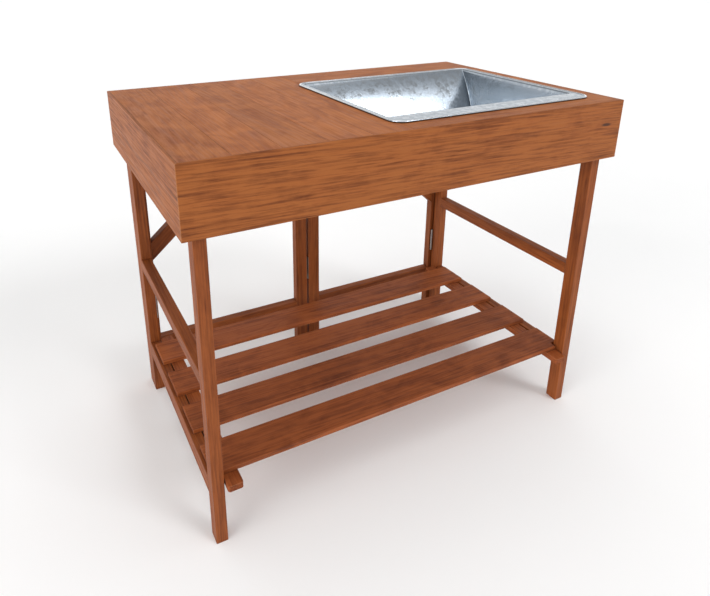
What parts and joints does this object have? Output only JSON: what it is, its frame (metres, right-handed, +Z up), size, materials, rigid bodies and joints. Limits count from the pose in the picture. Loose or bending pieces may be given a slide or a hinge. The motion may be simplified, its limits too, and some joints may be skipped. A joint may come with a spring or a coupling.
{
  "type": "potting bench",
  "caption": "Wooden potting bench: a deep-sided worktop with a drop-in sheet-metal tray at one end, hinged frames with diagonal rear braces, and a slatted lower shelf.",
  "frame": {"origin": "on the floor under the middle of the top's outline", "axes": "+Z up, +X along the bench towards the tray's end, -Y the front"},
  "size_m": [0.99, 0.622, 0.8042],
  "materials": {
    "worktop_wood": "oiled hardwood, worktop faces, fine open grain",
    "apron_wood": "oiled hardwood, long dark grain streaks",
    "frame_wood": "oiled hardwood, planed square with eased edges",
    "shelf_wood": "oiled hardwood slats, reddish brown",
    "batten_wood": "planed hardwood, unfinished underside",
    "zinc_steel": "hot-dip galvanised sheet with spangle",
    "hinge_steel": "zinc-plated steel",
    "screw_steel": "zinc-plated steel"
  },
  "bodies": {
    "base": {"left_frame_front_leg": "frame_wood", "left_frame_rear_leg": "frame_wood", "left_frame_shelf_rail": "frame_wood", "left_frame_middle_rail": "frame_wood", "left_frame_top_rail": "frame_wood", "right_frame_front_leg": "frame_wood", "right_frame_rear_leg": "frame_wood", "right_frame_shelf_rail": "frame_wood", "right_frame_middle_rail": "frame_wood", "right_frame_top_rail": "frame_wood", "rear_left_corner_post": "frame_wood", "rear_left_middle_post": "frame_wood", "rear_left_lower_rail": "frame_wood", "rear_left_top_rail": "frame_wood", "rear_left_brace": "frame_wood", "rear_right_corner_post": "frame_wood", "rear_right_middle_post": "frame_wood", "rear_right_lower_rail": "frame_wood", "rear_right_top_rail": "frame_wood", "rear_right_brace": "frame_wood", "corner_hinge_leg_leaves": "hinge_steel", "corner_hinge_post_leaves": "hinge_steel", "corner_hinge_pins": "hinge_steel", "middle_hinge_left_leaves": "hinge_steel", "middle_hinge_right_leaves": "hinge_steel", "middle_hinge_pins": "hinge_steel", "hinge_screws": "screw_steel"},
    "top": {"front_apron": "apron_wood", "rear_apron": "apron_wood", "left_apron": "apron_wood", "right_apron": "apron_wood", "worktop_board_1": "worktop_wood", "worktop_board_2": "worktop_wood", "worktop_board_3": "worktop_wood", "worktop_board_4": "worktop_wood", "worktop_board_5": "worktop_wood", "worktop_front_strip": "worktop_wood", "worktop_rear_strip": "worktop_wood", "worktop_right_strip": "worktop_wood", "top_front_batten": "batten_wood", "top_rear_batten": "batten_wood", "top_middle_batten": "batten_wood", "top_tray_batten": "batten_wood", "top_screws": "screw_steel"},
    "tray": {"tray": "zinc_steel"},
    "shelf": {"shelf_slat_1": "shelf_wood", "shelf_slat_2": "shelf_wood", "shelf_slat_3": "shelf_wood", "shelf_slat_4": "shelf_wood", "shelf_left_batten": "shelf_wood", "shelf_right_batten": "shelf_wood", "shelf_screws": "screw_steel"}
  },
  "joints": [
    {"name": "top_lift_off", "type": "slide", "parent": "base", "child": "top", "axis": [0, 0, 1], "range_m": [0, 0.2]},
    {"name": "tray_lift_out", "type": "slide", "parent": "top", "child": "tray", "axis": [0, 0, 1], "range_m": [0, 0.16]},
    {"name": "shelf_lift", "type": "slide", "parent": "base", "child": "shelf", "axis": [0, 0, 1], "range_m": [0, 0.2]}
  ]
}
